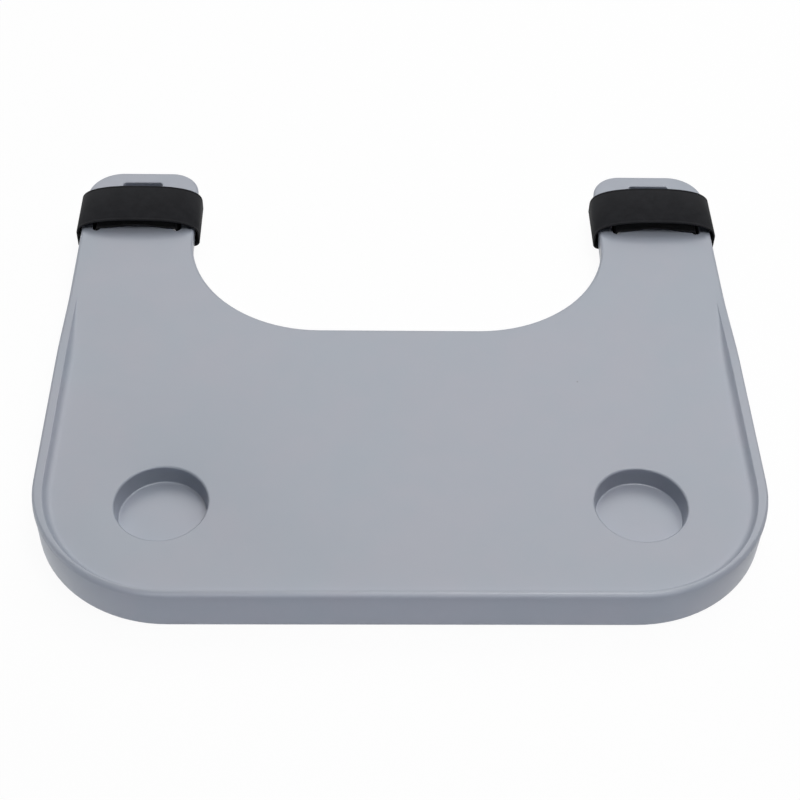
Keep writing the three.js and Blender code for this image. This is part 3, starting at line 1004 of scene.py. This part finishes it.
def close_up(route):
    """The same route with no two points further apart than one step."""
    filled = [route[0]]
    for start, end in zip(route, route[1:]):
        parts = math.ceil((end - start).length / STRIP_STEP)
        filled += [start.lerp(end, k / parts) for k in range(1, parts + 1)]
    return filled


def route_frames(route):
    """A matrix for each point of a route, with its local Z along the route and its local Y across."""
    steps = [(after - before).normalized() for before, after in zip(route, route[1:])]
    ways = [steps[0]] + [before + after for before, after in zip(steps, steps[1:])] + [steps[-1]]
    return [
        Matrix.Translation(place) @ Matrix.Rotation(math.atan2(way.x, way.z), 4, "Y")
        for place, way in zip(route, ways)]


def sweep(bm, frames, section):
    """Extrude a section from frame to frame, and note how far along each point lies."""
    along = bm.verts.layers.float.get("along") or bm.verts.layers.float.new("along")
    face = bm.faces.new([bm.verts.new(frames[0] @ Vector((up, y, 0))) for y, up in section])
    distance = 0
    for before, after in zip(frames, frames[1:]):
        made = bmesh.ops.extrude_face_region(bm, geom=[face])["geom"]
        face = next(item for item in made if isinstance(item, bmesh.types.BMFace))
        bmesh.ops.transform(bm, matrix=after @ before.inverted(), verts=face.verts)
        distance += (after.translation - before.translation).length
        for vert in face.verts:
            vert[along] = distance


# %% Mirroring, and bending across the two hinges
SIDES = (("left", -1), ("right", 1))
BEND_REACH = 4 * MM


def sided_piece(name, bm, side, material):
    """Finish a piece that was made on the right arm, mirrored to the left one where side is -1."""
    bmesh.ops.scale(bm, vec=(side, 1, 1), verts=bm.verts)
    bmesh.ops.recalc_face_normals(bm, faces=bm.faces)
    return make_piece(name, bm, material)


def bend_at_hinge(piece, hand, side, hinge):
    """Let a piece follow both bodies of a hinge, with a soft bend round the hinge's height."""
    below = Vector((0, strap_y, hinge_z - BEND_REACH))
    above = Vector((0, strap_y, hinge_z + BEND_REACH))
    if hinge == "flap":
        below.x = above.x = side * inner_run_x
        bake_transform(piece, "root", f"{hand}_flap", below, above)
    else:
        below.x = above.x = side * flap_end_x
        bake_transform(piece, f"{hand}_flap", f"{hand}_flap_tip", above, below)


# %% Webbing of both straps
DECK_BOW = 5 * MM


def lay_back(bm):
    """Let the stretch between the slots bow towards the tip, as if it was pulled from that side."""
    for vert in bm.verts:
        share = (vert.co.x - inner_slot_x) / (outer_slot_x - inner_slot_x)
        if 0 < share < 1 and deck_z < vert.co.z < strap_high.z + half_strap:
            vert.co.y += DECK_BOW * math.sin(math.pi * share) ** 2


for hand, side in SIDES:
    for part, route, node in strap_parts(hand):
        strip = bmesh.new()
        sweep(strip, route_frames(close_up(route)), webbing_section)
        lay_back(strip)
        piece = sided_piece(f"{hand}_{part}", strip, side, webbing)
        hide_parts(f"{hand}_{node}")
        if part == "strap_run":
            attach(piece, "root")
        else:
            bend_at_hinge(piece, hand, side, "flap" if part == "strap_arch" else "end")

# %% [markdown]
# ## Hook tape and loop tape
# The flap closes on the tail with two sewn tapes. One carries rows of small plastic hooks, the other a
# napped pile of loops that they catch in. Each hook is a strip of six points bent over at the tip, each
# loop a little arch, and both are swept with the same helper. A seeded draw scatters the loops.

# %% Plastic of the hooks
HOOK_BLACK = (0.008, 0.008, 0.0085, 1)
HOOK_WORN = (0.014, 0.014, 0.015, 1)
CLOUD_SCALE = 240
HOOK_GLOSS = (0.42, 0.6)


def hook_plastic():
    material, tree, shader = new_material("hook_tape")
    cloud = noise(tree, object_place(tree), CLOUD_SCALE, detail=3)
    feed(tree, shader.inputs["Base Color"], blend_colours(tree, cloud, HOOK_BLACK, HOOK_WORN))
    feed(tree, shader.inputs["Roughness"], remap(tree, cloud, WHOLE, HOOK_GLOSS))
    return material


hooks = hook_plastic()
print("material:", hooks.name)

# %% A tape's backing, and the places on it
TAPE_MARGIN = 1.7 * MM
PLAIN_EDGE = ((0.0, 0.5), (0.15, 1.0))
hook_low, hook_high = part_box("right_hook_tape")
loop_low, loop_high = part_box("right_loop_tape")


def grid_places(low, high, pitch):
    """Places across and up on a tape, evenly spaced inside its margin."""
    width = high.y - low.y - 2 * TAPE_MARGIN
    height = high.z - low.z - 2 * TAPE_MARGIN
    columns = int(width / pitch)
    rows = int(height / pitch)
    for row in range(rows + 1):
        for column in range(columns + 1):
            y = low.y + TAPE_MARGIN + width * column / columns
            yield y, low.z + TAPE_MARGIN + height * row / rows


def tape_backing(bm, low, high, x, thickness):
    """The flat strip that carries the hooks or the loops, with its middle at x."""
    top = Vector((x, strap_y, high.z))
    bottom = Vector((x, strap_y, low.z))
    section = strip_section(high.y - low.y, thickness, PLAIN_EDGE)
    sweep(bm, route_frames(close_up([top, bottom])), section)


hook_tape_height = hook_high.z - hook_low.z
loop_tape_height = loop_high.z - loop_low.z
print(f"hook tape {hook_tape_height / MM:.1f} mm high, loop tape {loop_tape_height / MM:.1f} mm")

# %% Moulded hooks
HOOK_BACKING = 0.25 * MM
HOOK_THICKNESS = 0.16 * MM
HOOK_HEIGHT = 0.34 * MM
HOOK_PITCH = 1.25 * MM
HOOK_STEPS = 4
HOOK_CURL = -60
SQUARE_EDGE = ((0.0, 1.0),)
hook_face_x = hook_high.x - HOOK_BACKING


def add_hooks(bm):
    """Rows of small square strips, each bent over at its tip."""
    section = strip_section(HOOK_THICKNESS, HOOK_THICKNESS, SQUARE_EDGE)
    bend = HOOK_HEIGHT / 2
    tip = arc_points((0, -bend), bend, 90, HOOK_CURL, HOOK_STEPS)
    frames = route_frames([Vector((0, 0, 0))] + [Vector((-bend - out, 0, up)) for out, up in tip])
    for y, z in grid_places(hook_low, hook_high, HOOK_PITCH):
        place = Matrix.Translation((hook_face_x, y, z))
        sweep(bm, [place @ each for each in frames], section)


for hand, side in SIDES:
    tape = bmesh.new()
    tape_backing(tape, hook_low, hook_high, hook_high.x - HOOK_BACKING / 2, HOOK_BACKING)
    add_hooks(tape)
    piece = sided_piece(f"{hand}_hooks", tape, side, hooks)
    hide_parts(f"{hand}_hook_tape")
    bend_at_hinge(piece, hand, side, "end")

# %% Napped loops
LOOP_BACKING = 0.3 * MM
LOOP_RADIUS = 0.26 * MM
LOOP_YARN = 0.07 * MM
LOOP_PITCH = 0.8 * MM
LOOP_STEPS = 5
LOOP_SCATTER = 0.3 * MM
YARN_CORNERS = (0, 2.09, 4.19)
LOOP_SEED = 5
loop_face_x = loop_low.x + LOOP_BACKING
draw = random.Random(LOOP_SEED)


def scatter():
    return draw.uniform(-LOOP_SCATTER, LOOP_SCATTER)


def add_loops(bm):
    """Little arches of three-sided yarn, each moved and turned by chance."""
    yarn = [(LOOP_YARN * math.sin(turn), LOOP_YARN * math.cos(turn)) for turn in YARN_CORNERS]
    arch = [Vector((out, 0, up)) for up, out in arc_points((0, 0), LOOP_RADIUS, 0, 180, LOOP_STEPS)]
    frames = route_frames(arch)
    for y, z in grid_places(loop_low, loop_high, LOOP_PITCH):
        shift = Matrix.Translation((loop_face_x, y + scatter(), z + scatter()))
        place = shift @ Matrix.Rotation(draw.uniform(0, math.pi), 4, "X")
        sweep(bm, [place @ each for each in frames], yarn)


for hand, side in SIDES:
    tape = bmesh.new()
    tape_backing(tape, loop_low, loop_high, loop_low.x + LOOP_BACKING / 2, LOOP_BACKING)
    add_loops(tape)
    piece = sided_piece(f"{hand}_loops", tape, side, pile)
    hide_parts(f"{hand}_loop_tape")
    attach(piece, "root")

# %% [markdown]
# ## Stitches
# Both tapes are sewn on with a line of stitches just inside their edges. A stitch is a small round thing
# pulled long, so each is a sphere of few faces, stretched and laid along its line. The hook tape's seam
# shows on the outer face of the flap's end as well, and both of its lines bend with the flap.

# %% Lines of stitches round a tape
STITCH_PITCH = 2.6 * MM
STITCH_LENGTH = 2.1 * MM
STITCH_WIDTH = 0.45 * MM
STITCH_HEIGHT = 0.3 * MM
STITCH_SIDES = 6
STITCH_RINGS = 5
SEAM_INSET = 0.9 * MM


def stitch_line(bm, start, end):
    """Evenly spaced stitches from one place to another."""
    count = max(1, round((end - start).length / STITCH_PITCH))
    lie = (end - start).to_track_quat("Z", "X").to_matrix().to_4x4()
    size = Matrix.Diagonal((STITCH_HEIGHT / 2, STITCH_WIDTH / 2, STITCH_LENGTH / 2, 1))
    for k in range(count):
        laid = Matrix.Translation(start.lerp(end, (k + 0.5) / count)) @ lie @ size
        bmesh.ops.create_uvsphere(
            bm, u_segments=STITCH_SIDES, v_segments=STITCH_RINGS, radius=1, matrix=laid)


def stitch_round(bm, low, high, x):
    """A closed line of stitches inside a tape's outline, on the face at x."""
    rows = (low.z + SEAM_INSET, high.z - SEAM_INSET)
    ends = (low.y + SEAM_INSET, high.y - SEAM_INSET)
    for z in rows:
        stitch_line(bm, Vector((x, ends[0], z)), Vector((x, ends[1], z)))
    for y in ends:
        stitch_line(bm, Vector((x, y, rows[0])), Vector((x, y, rows[1])))


for hand, side in SIDES:
    seam = bmesh.new()
    stitch_round(seam, hook_low, hook_high, end_high.x)
    stitch_round(seam, hook_low, hook_high, hook_face_x)
    piece = sided_piece(f"{hand}_hook_stitches", seam, side, thread)
    bend_at_hinge(piece, hand, side, "end")
    seam = bmesh.new()
    stitch_round(seam, loop_low, loop_high, loop_face_x)
    piece = sided_piece(f"{hand}_loop_stitches", seam, side, thread)
    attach(piece, "root")
